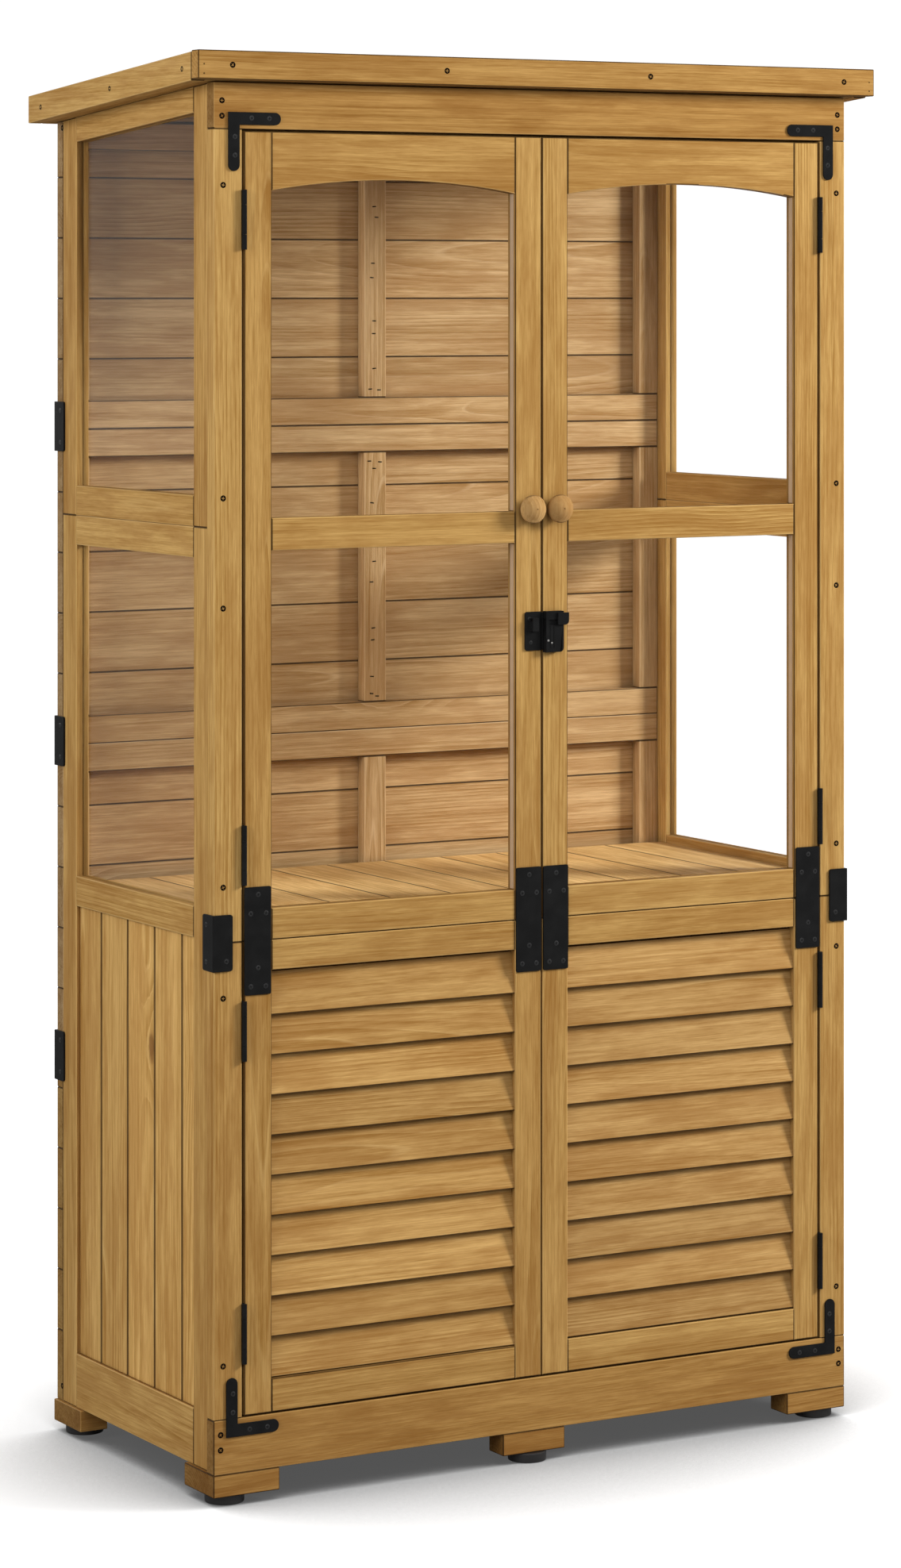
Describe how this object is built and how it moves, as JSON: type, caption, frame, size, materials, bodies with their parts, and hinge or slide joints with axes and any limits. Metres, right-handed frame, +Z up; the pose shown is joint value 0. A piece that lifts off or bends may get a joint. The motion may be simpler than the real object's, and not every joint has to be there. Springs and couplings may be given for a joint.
{
  "type": "garden storage cabinet",
  "caption": "Tall wooden outdoor cabinet with two hinged doors, clear panes above, louvred panels below, panelled sides and a roof that slopes to the rear.",
  "frame": {"origin": "on the ground, under the centre of the whole cabinet's box", "axes": "+X from left to right along the front, +Y from the front to the rear, +Z up"},
  "size_m": [0.898, 0.4424, 1.6],
  "materials": {
    "stained_softwood": "stained, satin",
    "pale_wood": "clear satin",
    "clear_pane": "clear",
    "black_metal": "satin powder coat",
    "black_plastic": "matte",
    "roof_felt": "matte, mineral"
  },
  "bodies": {
    "carcass": {"base_board": "stained_softwood", "header_board": "stained_softwood", "left_lower_post": "stained_softwood", "left_upper_post": "stained_softwood", "right_lower_post": "stained_softwood", "right_upper_post": "stained_softwood", "door_stop": "stained_softwood", "left_side_upper_frame": "stained_softwood", "left_side_lower_frame": "stained_softwood", "right_side_upper_frame": "stained_softwood", "right_side_lower_frame": "stained_softwood", "left_side_boards": "stained_softwood", "right_side_boards": "stained_softwood", "back_bottom_boards": "stained_softwood", "back_lower_boards": "stained_softwood", "back_upper_boards": "stained_softwood", "back_top_boards": "stained_softwood", "back_bottom_frame": "stained_softwood", "back_lower_frame": "stained_softwood", "back_upper_frame": "stained_softwood", "back_top_frame": "stained_softwood", "shelf_slats": "stained_softwood", "floor_slats": "stained_softwood", "slat_bearers": "stained_softwood", "front_fascia": "stained_softwood", "left_fascia": "stained_softwood", "right_fascia": "stained_softwood", "rear_fascia": "stained_softwood", "roof_frame": "stained_softwood", "roof_boards": "stained_softwood", "foot_blocks": "stained_softwood", "left_side_upper_pane": "clear_pane", "left_side_lower_pane": "clear_pane", "right_side_upper_pane": "clear_pane", "right_side_lower_pane": "clear_pane", "hinge_frame_leaves": "black_metal", "corner_braces": "black_metal", "front_angle_brackets": "black_metal", "rear_angle_brackets": "black_metal", "roof_felt": "roof_felt", "foot_glides": "black_plastic"},
    "left_door": {"left_door_upper_frame": "stained_softwood", "left_door_arch_rail": "stained_softwood", "left_door_lower_frame": "stained_softwood", "left_door_louvres": "stained_softwood", "left_door_panes": "clear_pane", "left_door_plates": "black_metal", "left_hinge_door_leaves": "black_metal", "left_knob": "pale_wood", "latch_keeper": "black_metal"},
    "right_door": {"right_door_upper_frame": "stained_softwood", "right_door_arch_rail": "stained_softwood", "right_door_lower_frame": "stained_softwood", "right_door_louvres": "stained_softwood", "right_door_panes": "clear_pane", "right_door_plates": "black_metal", "right_hinge_door_leaves": "black_metal", "right_knob": "pale_wood", "latch_housing": "black_metal"},
    "bolt": {"latch_bolt": "black_metal"}
  },
  "joints": [
    {"name": "left_door_hinge", "type": "hinge", "parent": "carcass", "child": "left_door", "pos_m": [-0.3835, -0.20325, 0.8], "axis": [0, 0, -1], "range_deg": [0, 110]},
    {"name": "right_door_hinge", "type": "hinge", "parent": "carcass", "child": "right_door", "pos_m": [0.3835, -0.20325, 0.8], "axis": [0, 0, 1], "range_deg": [0, 110]},
    {"name": "latch_bolt_slide", "type": "slide", "parent": "right_door", "child": "bolt", "axis": [-1, 0, 0], "range_m": [0, 0.012]}
  ]
}
